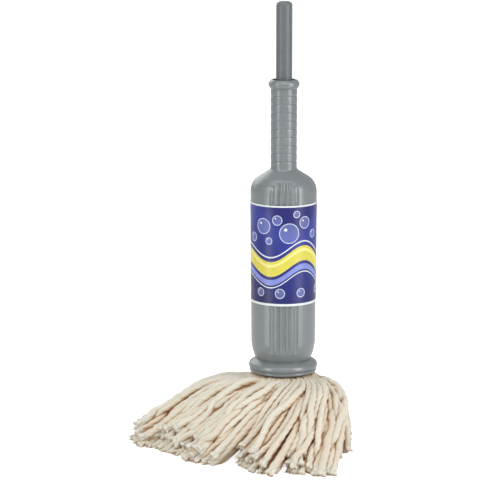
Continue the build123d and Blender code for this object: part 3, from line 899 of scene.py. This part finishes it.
# Groups of strands, which follow the slide of the pole
def narrow_way(points, heading):
    """Direction near the heading, in radians, along which the points are narrowest, and their half width."""
    ways = heading + np.radians(np.arange(-SQUEEZE_TURN, SQUEEZE_TURN + 1))
    widths = np.abs(points[:, :2] @ np.array([-np.sin(ways), np.cos(ways)])).max(0)
    return ways[widths.argmin()], widths.min()


def squeeze(piece, points, heading):
    """Find the direction near the heading in which the piece's points are narrowest, and give the piece its
    own mesh.
    """
    way, wide = narrow_way(points, heading)
    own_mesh(piece)


def strand_mesh(name, strands, material):
    """One mesh of several strands, and its vertices."""
    verts, faces, marks, lays, base = [], [], [], [], 0
    for strand_verts, strand_faces, strand_marks, strand_lay in strands:
        verts.append(strand_verts)
        marks.append(strand_marks)
        lays.append(strand_lay)
        faces += [tuple(base + i for i in face) for face in strand_faces]
        base += len(strand_verts)
    verts = np.vstack(verts)
    mesh = bpy.data.meshes.new(name)
    mesh.from_pydata(verts.tolist(), [], faces)
    marked = mesh.attributes.new("strand", "FLOAT_COLOR", "POINT")
    marked.data.foreach_set("color", np.vstack(marks).ravel())
    laid = mesh.attributes.new("lay", "FLOAT_VECTOR", "POINT")
    laid.data.foreach_set("vector", np.vstack(lays).ravel())
    mesh.polygons.foreach_set("use_smooth", [True] * len(mesh.polygons))
    mesh.materials.append(material)
    return mesh, verts


def add_yarn():
    """All strands, in groups that lie the same way, each attached to the mop."""
    rng = np.random.default_rng(SEED)
    paths = list(settle(strand_paths(rng), SETTLE_ROUNDS))
    builds = []
    for layer, kind in enumerate(LAYERS[:FILL_LAYER]):
        for _ in range(kind.count):
            thickness = STRAND_R * rng.uniform(*STRAND_SCATTER)
            builds.append(Build(thickness, STRAND_SIDES, True, layer / LOWEST_LAYER))
    for i in range(LAYERS[FILL_LAYER].count):
        paths.append(fill_path(rng, i))
        builds.append(Build(FILL_R, FILL_SIDES, False, 1.0))
    material = cotton()
    heading = np.array([math.atan2(path[-1, 1], path[-1, 0]) for path in paths])
    way = [math.remainder(narrow_way(path, ahead)[0], math.tau) for path, ahead in zip(paths, heading)]
    yarn_nodes = sorted(n for n in nodes if n.startswith("yarn_lock") or n == "yarn_core")
    for g, group in enumerate(np.array_split(np.argsort(way), YARN_GROUPS)):
        strands = [tube(paths[index], rng, builds[index]) for index in group]
        mesh, verts = strand_mesh(f"yarn_{g + 1:02d}", strands, material)
        piece = bpy.data.objects.new(mesh.name, mesh)
        scene.collection.objects.link(piece)
        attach(piece, "mop")
        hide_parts(*yarn_nodes[g::YARN_GROUPS])
        mean = math.atan2(np.sin(heading[group]).mean(), np.cos(heading[group]).mean())
        squeeze(piece, verts, mean)


# Stage
def seen_share(n):
    """1 to the camera, a smaller share in reflections and through glass, and 0 to other light."""
    path = n.add("ShaderNodeLightPath").outputs
    mirrored = n.math("MAXIMUM", path["Is Glossy Ray"], path["Is Transmission Ray"])
    return n.math("MAXIMUM", path["Is Camera Ray"], n.math("MULTIPLY", mirrored, MIRRORED_LEVEL))


def add_floor():
    """Large white sheet that keeps the object's shadow."""
    bpy.ops.mesh.primitive_plane_add(size=FLOOR_SIZE)
    floor = bpy.context.object
    floor.name = "floor"
    material, n = new_material("floor_white")
    diffuse = n.add("ShaderNodeBsdfDiffuse", {"Color": FLOOR_COLOUR})
    level = n.math("MULTIPLY", seen_share(n), FLOOR_GLOW)
    glow = n.add("ShaderNodeEmission", {"Color": WHITE, "Strength": level})
    both = n.add("ShaderNodeAddShader", {0: diffuse.outputs[0], 1: glow.outputs[0]})
    n.add("ShaderNodeOutputMaterial", {"Surface": both.outputs[0]})
    floor.data.materials.append(material)


def add_world():
    """White to the camera, pale grey in reflections, and a darker grey room to everything else."""
    world = bpy.data.worlds.new("studio")
    scene.world = world
    world.use_nodes = True
    n = Nodes(world.node_tree)
    level = n.add("ShaderNodeMapRange", {"Value": seen_share(n), "To Min": ROOM_LEVEL, "To Max": 1.0})
    background = n.add("ShaderNodeBackground", {"Color": WHITE, "Strength": level.outputs[0]})
    n.add("ShaderNodeOutputWorld", {"Surface": background.outputs[0]})


def add_soft_box(name, azimuth, elevation, distance, width, height, watts):
    """Rectangular lamp aimed at the middle of the object. Azimuth is measured from the camera's side."""
    data = bpy.data.lights.new(name, "AREA")
    data.shape = "RECTANGLE"
    data.size = width
    data.size_y = height
    data.energy = watts
    lamp = bpy.data.objects.new(name, data)
    scene.collection.objects.link(lamp)
    a, e = math.radians(azimuth), math.radians(elevation)
    away = Vector((math.sin(a) * math.cos(e), -math.cos(a) * math.cos(e), math.sin(e)))
    lamp.location = LAMP_TARGET + distance * away
    lamp.rotation_euler = (-away).to_track_quat("-Z", "Y").to_euler()


add_camera()
finish_nodes()
add_yarn()
add_floor()
add_world()
for lamp_sizes in LAMPS:
    add_soft_box(*lamp_sizes)
